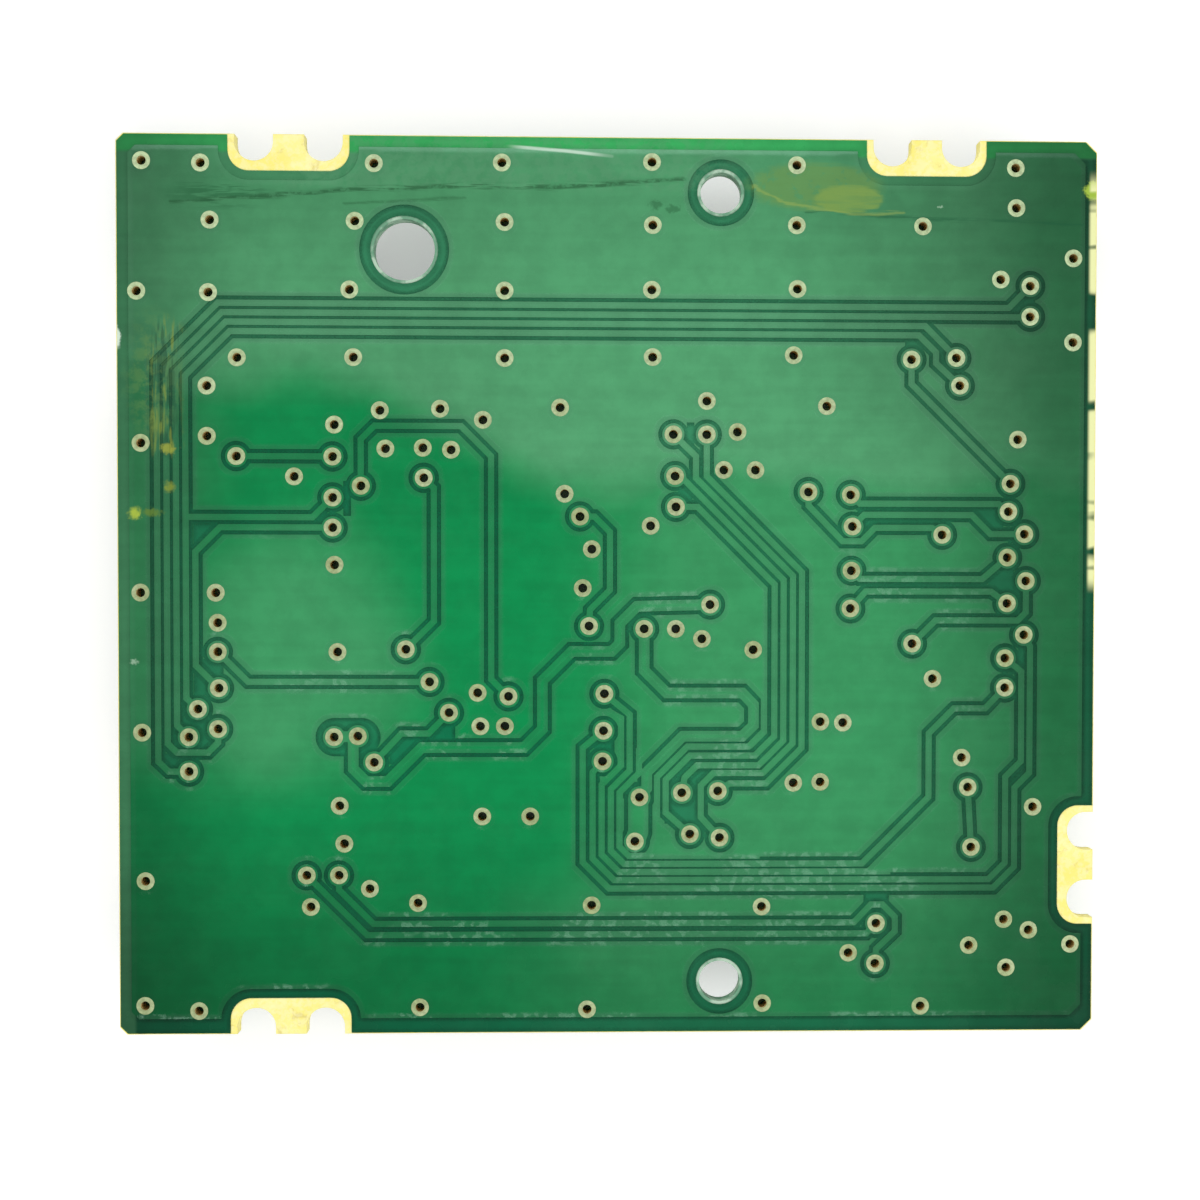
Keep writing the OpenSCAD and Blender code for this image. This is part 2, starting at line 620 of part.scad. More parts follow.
// Every pad of the component side, grown by g
module front_pads(g) {
    header_pads(input_header, input_pins, header_pitch, header_end, header_depth, g);
    header_pads(key_header, key_pins, header_pitch, header_end, header_depth, g);
    header_pads(signal_header, signal_pins, header_pitch, header_end, header_depth, g);
    header_pads(lamp_header, lamp_pins, header_pitch, header_end, header_depth, g);
    header_pads(panel_mouth, panel_ways, panel_pitch, panel_end, panel_depth, g);
    place(controller_at) on_turns([0:90:270]) lead_pads(controller_side / 2, controller_reach,
        controller_leads_per_side, controller_pitch, controller_pad, g);
    place(driver_at) on_turns([0, 180]) lead_pads(driver_size[0] / 2, driver_reach,
        driver_leads_per_side, driver_pitch, driver_pad, g);
    place(memory_at) on_turns([0, 180]) lead_pads(memory_size[0] / 2, memory_reach,
        memory_leads_per_side, memory_pitch, memory_pad, g);
    place(regulator_at) {
        rotate(-90) lead_pads(regulator_size[1] / 2, regulator_reach, 3, regulator_pitch,
            [regulator_pad_l, regulator_lead_w + 0.4], g);
        rotate(90) lead_pads(regulator_size[1] / 2, regulator_reach, 1, regulator_pitch,
            [regulator_pad_l, regulator_tab_w + 0.4], g);
    }
    for (c = transistors_at) place(c) {
        rotate(-90) lead_pads(transistor_size[1] / 2, transistor_reach, 2, transistor_pitch,
            transistor_pad, g);
        rotate(90) lead_pads(transistor_size[1] / 2, transistor_reach, 1, transistor_pitch,
            transistor_pad, g);
    }
    place(inductor_at) on_turns([0, 180])
        pad(inductor_side / 2 - inductor_clip_foot / 2 + pad_toe * 2,
            [inductor_clip_foot + pad_toe * 2, inductor_clip_w + 0.3], g);
    place(crystal_at) for (s = [-1, 1]) translate([0, s * (crystal_size[1] - crystal_pad[1]) / 2])
        on_turns([0, 180]) pad((crystal_size[0] - crystal_pad[0]) / 2 + pad_toe, crystal_pad, g);
    for (c = tantalums_at) place(c) strap_pads(tantalum_size[0], g);
    place(diode_at) strap_pads(diode_size[0], g);
    for (c = concat(ceramics_at, resistors_at)) place(c) on_turns([0, 180])
        pad(chip_size[0] / 2 - chip_cap_l / 2 + pad_toe / 2, chip_pad, g);
}

module strap_pads(l, g) {
    on_turns([0, 180]) pad(l / 2 + pad_toe - strap_foot / 2, [strap_foot + 0.5, strap_w + 0.3], g);
}

// All copper of the component side, not drilled
module front_copper() {
    difference() {
        plane_outline(0);
        dots(isolated_vias, via_pad_d + 2 * clearance);
        front_pads(clearance);
    }
    dots(isolated_vias, via_pad_d);
    front_pads(0);
}

module copper_front() {
    color("peru") on_front(0) linear_extrude(copper_t) difference() {
        front_copper();
        dots(all_vias, 2 * drill_r);
    }
}

module solder_mask_front() {
    color("seagreen") on_front(0) difference() {
        linear_extrude(face_t) difference() {
            mask_area();
            front_pads(mask_pad_margin);
        }
        linear_extrude(copper_t) front_copper();
    }
}

module solder_pads() {
    color("silver") on_front(copper_t) linear_extrude(solder_t) front_pads(0);
}

// ---- Leads and moulded bodies ----------------------------------------------------------------
// A strip of thickness t, bent along points in the XZ plane, w wide
module bent(points, t, w) {
    rotate([90, 0, 0]) translate([0, 0, -w / 2]) linear_extrude(w) strip(points, t);
}

// A gull-wing lead that leaves a body at height z and reaches out along +X
module gull(z, reach, t, w) {
    foot = reach * foot_share;
    bent([[0, z], [(reach - foot) * 0.45, z], [reach - foot, t / 2], [reach, t / 2]], t, w);
}

// The side view of a drafted body with a flat band at mid-height
function drafted(l, h, band) = let (x = l / 2, i = x - body_draft, m = h / 2, b = band / 2)
    [[-i, 0], [i, 0], [x, m - b], [x, m + b], [i, h], [-i, h], [-x, m + b], [-x, m - b]];

module moulded(l, w, h, band) {
    intersection() {
        rotate([90, 0, 0]) translate([0, 0, -w / 2]) linear_extrude(w)
            polygon(drafted(l, h, band));
        rotate([90, 0, 90]) translate([0, 0, -l / 2]) linear_extrude(l)
            polygon(drafted(w, h, band));
    }
}

// The mark of the mould's pin in the top of a chip
module chip_body(l, w, h) {
    difference() {
        moulded(l, w, h, lead_t);
        translate([-l / 2 + dimple_inset, -w / 2 + dimple_inset, h - dimple_depth])
            cylinder(h = 1, d = dimple_d);
    }
}

// The height of a lead above its pad, for a body of height h that sits on the mask
function lead_z(h) = face_t + h / 2 - pad_seat;

module controller_body() {
    color("dimgray") on_front(face_t) place(controller_at)
        chip_body(controller_side, controller_side, controller_body_h);
}

module controller_leads() {
    color("silver") on_front(pad_seat) place(controller_at) on_turns([0:90:270])
        translate([controller_side / 2, 0]) in_row(controller_leads_per_side, controller_pitch)
            gull(lead_z(controller_body_h), controller_reach, lead_t, controller_lead_w);
}

module driver_body() {
    color("dimgray") on_front(face_t) place(driver_at)
        chip_body(driver_size[0], driver_size[1], driver_body_h);
}

module driver_leads() {
    color("silver") on_front(pad_seat) place(driver_at) on_turns([0, 180])
        translate([driver_size[0] / 2, 0]) in_row(driver_leads_per_side, driver_pitch)
            gull(lead_z(driver_body_h), driver_reach, lead_t, driver_lead_w);
}

module memory_body() {
    color("dimgray") on_front(face_t) place(memory_at)
        chip_body(memory_size[0], memory_size[1], memory_body_h);
}

module memory_leads() {
    color("silver") on_front(pad_seat) place(memory_at) on_turns([0, 180])
        translate([memory_size[0] / 2, 0]) in_row(memory_leads_per_side, memory_pitch)
            gull(lead_z(memory_body_h), memory_reach, lead_t, memory_lead_w);
}

module regulator_body() {
    color("dimgray") on_front(face_t) place(regulator_at)
        moulded(regulator_size[0], regulator_size[1], regulator_h, regulator_lead_t);
}

module regulator_leads() {
    color("silver") on_front(pad_seat) place(regulator_at) {
        rotate(-90) translate([regulator_size[1] / 2, 0]) in_row(3, regulator_pitch)
            gull(lead_z(regulator_h), regulator_reach, regulator_lead_t, regulator_lead_w);
        rotate(90) translate([regulator_size[1] / 2, 0])
            gull(lead_z(regulator_h), regulator_reach, regulator_lead_t, regulator_tab_w);
    }
}

module transistor_bodies() {
    color("dimgray") on_front(face_t) for (c = transistors_at) place(c)
        moulded(transistor_size[0], transistor_size[1], transistor_h, lead_t);
}

module transistor_leads() {
    color("silver") on_front(pad_seat) for (c = transistors_at) place(c) {
        rotate(-90) translate([transistor_size[1] / 2, 0]) in_row(2, transistor_pitch)
            gull(lead_z(transistor_h), transistor_reach, lead_t, transistor_lead_w);
        rotate(90) translate([transistor_size[1] / 2, 0])
            gull(lead_z(transistor_h), transistor_reach, lead_t, transistor_lead_w);
    }
}

// ---- Wrapped terminals -----------------------------------------------------------------------
// A strap that runs under a body's end and up to its mid-height
module straps(l, h) {
    x = l / 2 + strap_t / 2;
    on_turns([0, 180]) bent([[l / 2 - strap_foot, strap_t / 2], [x, strap_t / 2],
        [x, strap_t + (h + strap_t) / 2]], strap_t, strap_w);
}

module tantalum_bodies() {
    color("darkorange") on_front(pad_seat + strap_t) for (c = tantalums_at) place(c)
        moulded(tantalum_size[0], tantalum_size[1], tantalum_h, strap_t);
}

module tantalum_terminals() {
    color("silver") on_front(pad_seat) for (c = tantalums_at) place(c)
        straps(tantalum_size[0], tantalum_h);
}

module diode_body() {
    color("dimgray") on_front(pad_seat + strap_t) place(diode_at)
        moulded(diode_size[0], diode_size[1], diode_h, strap_t);
}

module diode_terminals() {
    color("silver") on_front(pad_seat) place(diode_at) straps(diode_size[0], diode_h);
}

// ---- Chip resistors and capacitors -----------------------------------------------------------
module chip_core(h) {
    translate([0, 0, h / 2]) cube([chip_size[0] - 2 * chip_cap_l, chip_size[1] - 2 * chip_inset,
        h - 2 * chip_inset], center = true);
}

module chip_caps(h) {
    on_turns([0, 180]) translate([chip_size[0] / 2 - chip_cap_l, -chip_size[1] / 2])
        cube([chip_cap_l, chip_size[1], h]);
}

module ceramic_bodies() {
    color("tan") on_front(pad_seat) for (c = ceramics_at) place(c) chip_core(ceramic_h);
}

module ceramic_end_caps() {
    color("silver") on_front(pad_seat) for (c = ceramics_at) place(c) chip_caps(ceramic_h);
}

module resistor_bodies() {
    color("black") on_front(pad_seat) for (c = resistors_at) place(c) chip_core(resistor_h);
}

module resistor_end_caps() {
    color("silver") on_front(pad_seat) for (c = resistors_at) place(c) chip_caps(resistor_h);
}

// ---- Inductor and crystal --------------------------------------------------------------------
inductor_bore_d = inductor_side - 2 * inductor_ring;
drum_d = inductor_bore_d - 2 * drum_gap;
drum_h = inductor_h - inductor_floor_t - drum_gap;

module inductor_shield() {
    a = inductor_side / 2;
    b = a - inductor_cut;
    color("dimgray") on_front(pad_seat + inductor_clip_t) place(inductor_at) difference() {
        linear_extrude(inductor_h) polygon([[a, b], [b, a], [-b, a], [-a, b], [-a, -b],
            [-b, -a], [b, -a], [a, -b]]);
        translate([0, 0, inductor_floor_t]) cylinder(h = inductor_h, d = inductor_bore_d);
    }
}

module on_inductor_floor() {
    on_front(pad_seat + inductor_clip_t + inductor_floor_t) place(inductor_at) children();
}

module inductor_drum() {
    r = drum_d / 2;
    c = drum_core_d / 2;
    t = drum_flange_t;
    color("gray") on_inductor_floor() rotate_extrude()
        polygon([[0, 0], [r, 0], [r, t], [c, t], [c, drum_h - t], [r, drum_h - t],
            [r, drum_h], [0, drum_h]]);
}

module inductor_winding() {
    color("chocolate") on_inductor_floor() rotate_extrude()
        translate([drum_core_d / 2, drum_flange_t])
            square([(drum_d - drum_core_d) / 2 - winding_inset, drum_h - 2 * drum_flange_t]);
}

module inductor_terminals() {
    x = inductor_side / 2 + inductor_clip_t / 2;
    z = inductor_clip_t / 2;
    color("silver") on_front(pad_seat) place(inductor_at) on_turns([0, 180])
        bent([[x - inductor_clip_foot, z], [x, z], [x, inductor_clip_rise]],
            inductor_clip_t, inductor_clip_w);
}

module crystal_base() {
    x = crystal_size[0] / 2;
    y = crystal_size[1] / 2;
    color("saddlebrown") on_front(pad_seat) place(crystal_at) linear_extrude(crystal_base_h)
        difference() {
            square(crystal_size, center = true);
            for (i = [-1, 1]) for (j = [-1, 1]) translate([i * x, j * y]) circle(crystal_notch_r);
        }
}

module crystal_lid() {
    m = 2 * crystal_lid_margin;
    color("silver") on_front(pad_seat + crystal_base_h) place(crystal_at)
        linear_extrude(crystal_lid_h)
            square([crystal_size[0] - m, crystal_size[1] - m], center = true);
}

// ---- Wire headers ----------------------------------------------------------------------------
header_mid = face_t + header_h / 2;

// Half of a header's width
function half_width(n, pitch, end) = (n - 1) * pitch / 2 + end;

// A row of pins that leave the back wall, turn down and end on their pads
module header_pin_row(n) {
    x = header_depth + header_pin * 0.7;
    z = pad_seat + header_pin / 2;
    in_row(n, header_pitch) bent([[header_pin_start, header_mid], [x, header_mid], [x, z],
        [header_depth + header_tail + header_pin / 2, z]], header_pin, header_pin);
}

// Solder nails on both sides of a housing
module nails(half) {
    y = half + nail_t / 2;
    z = pad_seat + nail_t / 2;
    for (s = [-1, 1]) translate([nail_at, 0]) rotate(s * 90)
        bent([[y, z + nail_rise], [y, z], [half + nail_foot, z]], nail_t, nail_l);
}

module header_housing(c, n) {
    half = half_width(n, header_pitch, header_end);
    inner = half - header_end + header_side_room;
    cut = header_edge_cut;
    top = face_t + header_h;
    difference() {
        place(c) rotate([90, 0, 90]) linear_extrude(header_depth)
            polygon([[-half, face_t], [half, face_t], [half, top - cut], [half - cut, top],
                [-half + cut, top], [-half, top - cut]]);
        place(c) translate([-1, -inner, face_t + header_wall])
            cube([header_mouth_depth + 1, 2 * inner, header_h - 2 * header_wall]);
        place(c) for (s = [-1, 1])
            translate([-1, s * (inner - header_key_slot[1] / 2) - header_key_slot[1] / 2,
                top - header_wall - 0.1])
                cube([header_key_slot[0] + 1, header_key_slot[1], 2]);
        place(c) header_pin_row(n);
    }
}

module header_metal(c, n) {
    place(c) {
        header_pin_row(n);
        nails(half_width(n, header_pitch, header_end));
    }
}

module input_header_housing() {
    color("ivory") on_front(0) header_housing(input_header, input_pins);
}
module input_header_pins() color("silver") on_front(0) header_metal(input_header, input_pins);

module key_header_housing() {
    color("ivory") on_front(0) header_housing(key_header, key_pins);
}
module key_header_pins() color("silver") on_front(0) header_metal(key_header, key_pins);

module signal_header_housing() {
    color("ivory") on_front(0) header_housing(signal_header, signal_pins);
}
module signal_header_pins() color("silver") on_front(0) header_metal(signal_header, signal_pins);

module lamp_header_housing() {
    color("ivory") on_front(0) header_housing(lamp_header, lamp_pins);
}
module lamp_header_pins() color("silver") on_front(0) header_metal(lamp_header, lamp_pins);

// ---- Panel connector -------------------------------------------------------------------------
panel_groove_z = header_mid - panel_slot_h / 2 - panel_groove_depth / 2;

// Spring contacts that rise into the slot, with tails like the headers' pins
module panel_contact_row() {
    t = panel_contact_t;
    a = panel_contact_start;
    g = panel_groove_z;
    x = panel_depth + t;
    z = pad_seat + t / 2;
    in_row(panel_ways, panel_pitch) bent([[a, g], [a + 0.6, g + panel_groove_depth / 2],
        [a + 1.2, g], [x, g], [x, z], [panel_depth + header_tail + t, z]], t, panel_contact_w);
}

module panel_connector_housing() {
    half = half_width(panel_ways, panel_pitch, panel_end);
    inner = half - panel_slot_end;
    cut = header_edge_cut;
    top = face_t + header_h;
    low = header_mid - panel_slot_h / 2;
    high = header_mid + panel_slot_h / 2;
    lead = panel_lead_in;
    color("ivory") on_front(0) place(panel_mouth) difference() {
        rotate([90, 0, 90]) linear_extrude(panel_depth)
            polygon([[-half, face_t], [half, face_t], [half, top - cut], [half - cut, top],
                [-half + cut, top], [-half, top - cut]]);
        rotate([90, 0, 0]) translate([0, 0, -inner]) linear_extrude(2 * inner)
            polygon([[-1, low - lead[1]], [0, low - lead[1]], [lead[0], low],
                [panel_slot_depth, low], [panel_slot_depth, high], [lead[0], high],
                [0, high + lead[1]], [-1, high + lead[1]]]);
        in_row(panel_ways, panel_pitch)
            translate([lead[0], -panel_groove_w / 2, low - panel_groove_depth])
                cube([panel_slot_depth - lead[0], panel_groove_w, panel_groove_depth + 0.1]);
        panel_contact_row();
    }
}

module panel_connector_contacts() {
    color("silver") on_front(0) place(panel_mouth) {
        panel_contact_row();
        nails(half_width(panel_ways, panel_pitch, panel_end));
    }
}

laminate();
copper_rear();
copper_front();
plated_vias();
solder_mask_rear();
solder_mask_front();
solder_pads();
controller_body();
controller_leads();
driver_body();
driver_leads();
memory_body();
memory_leads();
input_header_housing();
input_header_pins();
key_header_housing();
key_header_pins();
signal_header_housing();
signal_header_pins();
lamp_header_housing();
lamp_header_pins();
panel_connector_housing();
panel_connector_contacts();
inductor_shield();
inductor_drum();
inductor_winding();
inductor_terminals();
crystal_base();
crystal_lid();
tantalum_bodies();
tantalum_terminals();
diode_body();
diode_terminals();
regulator_body();
regulator_leads();
transistor_bodies();
transistor_leads();
ceramic_bodies();
ceramic_end_caps();
resistor_bodies();
resistor_end_caps();
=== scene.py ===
import json
import math

import bpy
from mathutils import Matrix, Vector


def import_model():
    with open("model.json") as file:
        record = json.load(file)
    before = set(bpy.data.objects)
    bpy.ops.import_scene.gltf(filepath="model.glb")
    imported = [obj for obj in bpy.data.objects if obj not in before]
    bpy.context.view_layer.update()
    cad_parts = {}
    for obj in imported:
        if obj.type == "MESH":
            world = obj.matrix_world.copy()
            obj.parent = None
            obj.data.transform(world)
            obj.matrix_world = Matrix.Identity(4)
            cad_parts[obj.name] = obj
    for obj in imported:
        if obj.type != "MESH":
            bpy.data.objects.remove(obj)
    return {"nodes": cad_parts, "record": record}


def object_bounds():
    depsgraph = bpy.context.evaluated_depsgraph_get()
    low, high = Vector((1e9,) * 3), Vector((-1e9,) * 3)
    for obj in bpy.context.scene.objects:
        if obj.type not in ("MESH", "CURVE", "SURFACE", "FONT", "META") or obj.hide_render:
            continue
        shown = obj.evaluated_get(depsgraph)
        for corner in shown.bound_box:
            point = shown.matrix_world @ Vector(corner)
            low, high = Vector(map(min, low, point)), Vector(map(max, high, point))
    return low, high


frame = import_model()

cad_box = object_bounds()
MM = 0.001
BOARD_W, BOARD_H = 54.0, 49.5
TOP_Z = cad_box[1][2]
FOIL_TOP = TOP_Z - 0.025 * MM
HOLES = ((15.7, 43.25, 2.3), (33.1, 46.5, 1.7), (33.1, 2.85, 1.7))  # x, y and radius with the bare rim
WEAVE = 0.42  # pitch of the laminate's glass cloth
# All that wear() draws lies above, left or right of these lines, and between them the mask is clean
CLEAN_TOP, CLEAN_LEFT, CLEAN_RIGHT = 44.3, 5.0, 53.45
PLASTIC_IOR = 1.5
PHOTO_PIXELS = 1200.0
FOCAL_PIXELS = 2715.0
SENSOR_MM = 36.0
FLOOR_REACH = 0.6
FLOOR_GAP = 0.00002  # keeps the floor clear of the resting faces
FLOOR_GLOW = 0.37  # what the camera sees added to the floor's own white
SKY_LIGHT, SKY_SEEN = 0.4, 1.0


# ---- Node helpers -----------------------------------------------------------------------------
class Val:
    """A number in a node tree, with arithmetic that adds Math nodes."""

    def __init__(self, tree, socket):
        self.tree, self.socket = tree, socket

    def op(self, kind, *others, clamp=False):
        n = self.tree.nodes.new("ShaderNodeMath")
        n.operation, n.use_clamp = kind, clamp
        for i, v in enumerate((self,) + others):
            put(self.tree, v, n.inputs[i])
        return Val(self.tree, n.outputs[0])

    def __add__(self, o):
        return self.op("ADD", o)

    def __sub__(self, o):
        return self.op("SUBTRACT", o)

    def __mul__(self, o):
        return self.op("MULTIPLY", o)

    def max(self, o):
        return self.op("MAXIMUM", o)

    def min(self, o):
        return self.op("MINIMUM", o)

    def abs(self):
        return self.op("ABSOLUTE")

    def ramp(self, a, b, lo=0.0, hi=1.0):
        n = self.tree.nodes.new("ShaderNodeMapRange")
        n.interpolation_type = "SMOOTHSTEP"
        for i, v in enumerate((self, a, b, lo, hi)):
            put(self.tree, v, n.inputs[i])
        return Val(self.tree, n.outputs[0])


def put(tree, v, socket):
    if isinstance(v, Val):
        tree.links.new(v.socket, socket)
    elif isinstance(v, bpy.types.NodeSocket):
        tree.links.new(v, socket)
    else:
        socket.default_value = v


def srgb(r, g, b):
    def lin(c):
        c /= 255.0
        return c / 12.92 if c <= 0.04045 else ((c + 0.055) / 1.055) ** 2.4
    return (lin(r), lin(g), lin(b), 1.0)


class Mat:
    """One material: its Principled shader and short names for the nodes it needs."""

    def __init__(self, name, rough=0.5, metal=0.0):
        self.m = bpy.data.materials.new(name)
        self.m.use_nodes = True
        self.t = self.m.node_tree
        self.bsdf = self.t.nodes["Principled BSDF"]
        self.bsdf.inputs["Roughness"].default_value = rough
        self.bsdf.inputs["Metallic"].default_value = metal
        self.bsdf.inputs["IOR"].default_value = PLASTIC_IOR
        self.where = self.t.nodes.new("ShaderNodeTexCoord").outputs["Object"]

    def xyz(self):
        """The point in board millimetres: x and y from the lower left corner, z as in the frame."""
        x, y, z = self.split(self.where)
        return x * 1000.0 + BOARD_W / 2, y * 1000.0 + BOARD_H / 2, z * 1000.0

    def noise(self, per_mm, detail=3.0, rough=0.5, warp=0.0, stretch=(1, 1, 1), shift=0.0):
        m = self.t.nodes.new("ShaderNodeMapping")
        m.inputs["Scale"].default_value = [1000.0 * per_mm * s for s in stretch]
        m.inputs["Location"].default_value = (shift, shift * 0.7, shift * 0.3)
        self.t.links.new(self.where, m.inputs["Vector"])
        n = self.t.nodes.new("ShaderNodeTexNoise")
        n.inputs["Scale"].default_value = 1.0
        n.inputs["Detail"].default_value = detail
        n.inputs["Roughness"].default_value = rough
        n.inputs["Distortion"].default_value = warp
        self.t.links.new(m.outputs[0], n.inputs["Vector"])
        return Val(self.t, n.outputs[0])

    def mix(self, f, a, b):
        n = self.t.nodes.new("ShaderNodeMix")
        n.data_type, n.clamp_factor = "RGBA", True
        put(self.t, f, n.inputs[0])
        put(self.t, a, n.inputs[6])
        put(self.t, b, n.inputs[7])
        return n.outputs[2]

    def scale(self, colour, v):
        n = self.t.nodes.new("ShaderNodeVectorMath")
        n.operation = "SCALE"
        put(self.t, colour, n.inputs[0])
        put(self.t, v, n.inputs["Scale"])
        return n.outputs[0]

    def vector(self, kind, *values):
        n = self.t.nodes.new("ShaderNodeVectorMath")
        n.operation = kind
        for i, v in enumerate(values):
            put(self.t, v, n.inputs[i])
        if kind in ("DOT_PRODUCT", "DISTANCE", "LENGTH"):
            return Val(self.t, n.outputs["Value"])
        return n.outputs[0]

    def flat(self, x, y):
        """The vector (x, y, 0)."""
        n = self.t.nodes.new("ShaderNodeCombineXYZ")
        put(self.t, x, n.inputs[0])
        put(self.t, y, n.inputs[1])
        return n.outputs[0]

    def bump(self, height, strength, distance_mm, normal=None):
        n = self.t.nodes.new("ShaderNodeBump")
        n.inputs["Strength"].default_value = strength
        n.inputs["Distance"].default_value = distance_mm * MM
        put(self.t, height, n.inputs["Height"])
        if normal is not None:
            self.t.links.new(normal, n.inputs["Normal"])
        return n.outputs[0]

    def bevel(self, radius_mm, samples=4):
        n = self.t.nodes.new("ShaderNodeBevel")
        n.samples = samples
        n.inputs["Radius"].default_value = radius_mm * MM
        return n.outputs[0]

    def split(self, vector):
        n = self.t.nodes.new("ShaderNodeSeparateXYZ")
        self.t.links.new(vector, n.inputs[0])
        return [Val(self.t, s) for s in n.outputs]

    def second(self, share, colour, rough):
        """The same shader with another colour and roughness, shown where share is 1. Where share is
        0 or 1, Cycles skips the nodes that only the other shader needs."""
        n = self.t.nodes.new("ShaderNodeBsdfPrincipled")
        for name in ("IOR", "Metallic", "Specular IOR Level"):
            n.inputs[name].default_value = self.bsdf.inputs[name].default_value
        put(self.t, colour, n.inputs["Base Color"])
        put(self.t, rough, n.inputs["Roughness"])
        self.t.links.new(self.bsdf.inputs["Normal"].links[0].from_socket, n.inputs["Normal"])
        both = self.t.nodes.new("ShaderNodeMixShader")
        put(self.t, share, both.inputs[0])
        self.t.links.new(self.bsdf.outputs[0], both.inputs[1])
        self.t.links.new(n.outputs[0], both.inputs[2])
        self.t.links.new(both.outputs[0], self.t.nodes["Material Output"].inputs["Surface"])

    def base(self, v):
        put(self.t, v, self.bsdf.inputs["Base Color"])

    def rough(self, v):
        put(self.t, v, self.bsdf.inputs["Roughness"])

    def normal(self, v):
        put(self.t, v, self.bsdf.inputs["Normal"])


def stroke(m, p, points, width, soft):
    """1 within half the width of a line through points, falling to 0 over soft."""
    nearest = None
    for (ax, ay), (bx, by) in zip(points, points[1:]):
        dx, dy = bx - ax, by - ay
        squared = dx * dx + dy * dy
        rel = m.vector("SUBTRACT", p, (ax, ay, 0))
        along = m.vector("DOT_PRODUCT", rel, (dx / squared, dy / squared, 0)).op("ADD", 0.0, clamp=True)
        foot = m.scale((dx, dy, 0), along)
        d = m.vector("DISTANCE", rel, foot)
        nearest = d if nearest is None else nearest.min(d)
    return nearest.ramp(width / 2, width / 2 + soft, 1.0, 0.0)


def blob(m, p, cx, cy, rx, ry, inner=0.4):
    """1 in the middle of an ellipse, falling to 0 at its rim."""
    rel = m.vector("MULTIPLY_ADD", p, (1 / rx, 1 / ry, 0), (-cx / rx, -cy / ry, 0))
    return m.vector("LENGTH", rel).ramp(inner, 1.0, 1.0, 0.0)


